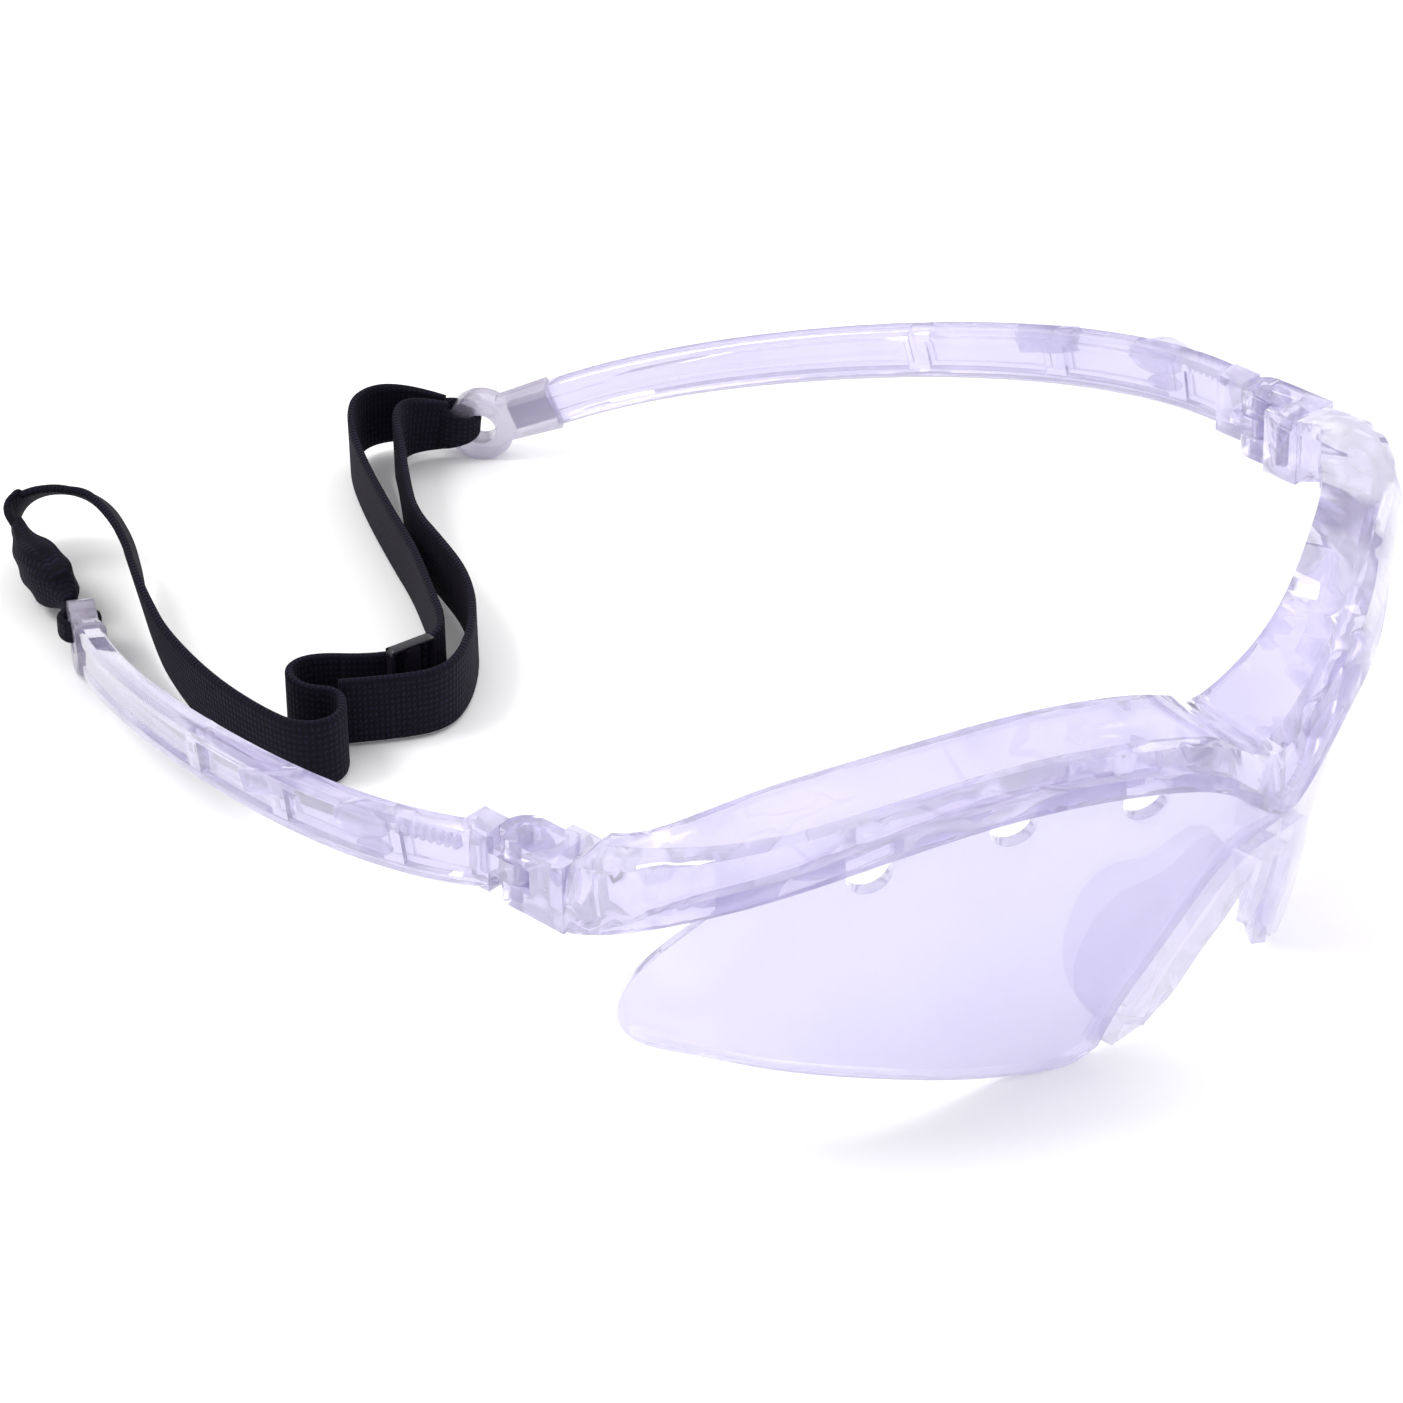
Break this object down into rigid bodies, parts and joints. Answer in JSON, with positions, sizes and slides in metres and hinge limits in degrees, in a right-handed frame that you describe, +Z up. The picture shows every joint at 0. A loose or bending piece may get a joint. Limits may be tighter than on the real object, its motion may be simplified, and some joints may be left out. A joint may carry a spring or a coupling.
{
  "type": "eye protectors",
  "caption": "Clear wraparound eye protectors with a one-piece lens, folding bowed temples and an adjustable elastic head strap.",
  "frame": {"origin": "on the table, under the middle of the spectacles' own box, the strap left out", "axes": "+Z up, the wearer looks along -Y, +X runs from the side called left to the side called right, on the temple hinges' side"},
  "size_m": [0.147, 0.1976, 0.0523],
  "materials": {
    "frame_plastic": "clear, injection moulded, polished",
    "lens_plastic": "clear, injection moulded, polished",
    "soft_plastic": "clear soft moulding, smooth",
    "tip_plastic": "translucent grey soft moulding",
    "pin_plastic": "clear, moulded",
    "webbing": "woven elastic, matt",
    "slider_plastic": "moulded, satin"
  },
  "bodies": {
    "frame": {"front_frame": "frame_plastic", "lens": "lens_plastic", "nose_piece": "soft_plastic", "hinge_pin_left": "pin_plastic", "hinge_pin_right": "pin_plastic", "strap_free": "webbing", "strap_rear": "webbing", "strap_front": "webbing", "strap_end": "webbing"},
    "temple_left": {"temple_left": "frame_plastic", "ear_tip_left": "tip_plastic", "tip_loop_left": "webbing"},
    "temple_right": {"temple_right": "frame_plastic", "ear_tip_right": "tip_plastic", "tip_loop_right": "webbing"},
    "slider": {"strap_slider": "slider_plastic"}
  },
  "joints": [
    {"name": "temple_right_fold", "type": "hinge", "parent": "frame", "child": "temple_right", "pos_m": [0.0673, -0.02965, 0.0353], "axis": [0, 0, 1], "range_deg": [0, 85], "deforming": ["strap_free", "strap_rear", "strap_front", "strap_end", "tip_loop_left", "tip_loop_right"]},
    {"name": "temple_left_fold", "type": "hinge", "parent": "frame", "child": "temple_left", "pos_m": [-0.0673, -0.02965, 0.0353], "axis": [0, 0, -1], "range_deg": [0, 72], "deforming": ["strap_free", "strap_rear", "strap_front", "strap_end", "tip_loop_left", "tip_loop_right"]},
    {"name": "slider_slide", "type": "slide", "parent": "frame", "child": "slider", "axis": [0.9785, -0.2061, 0], "range_m": [0, 0.003], "deforming": ["strap_free", "strap_rear", "strap_front", "strap_end"]}
  ]
}
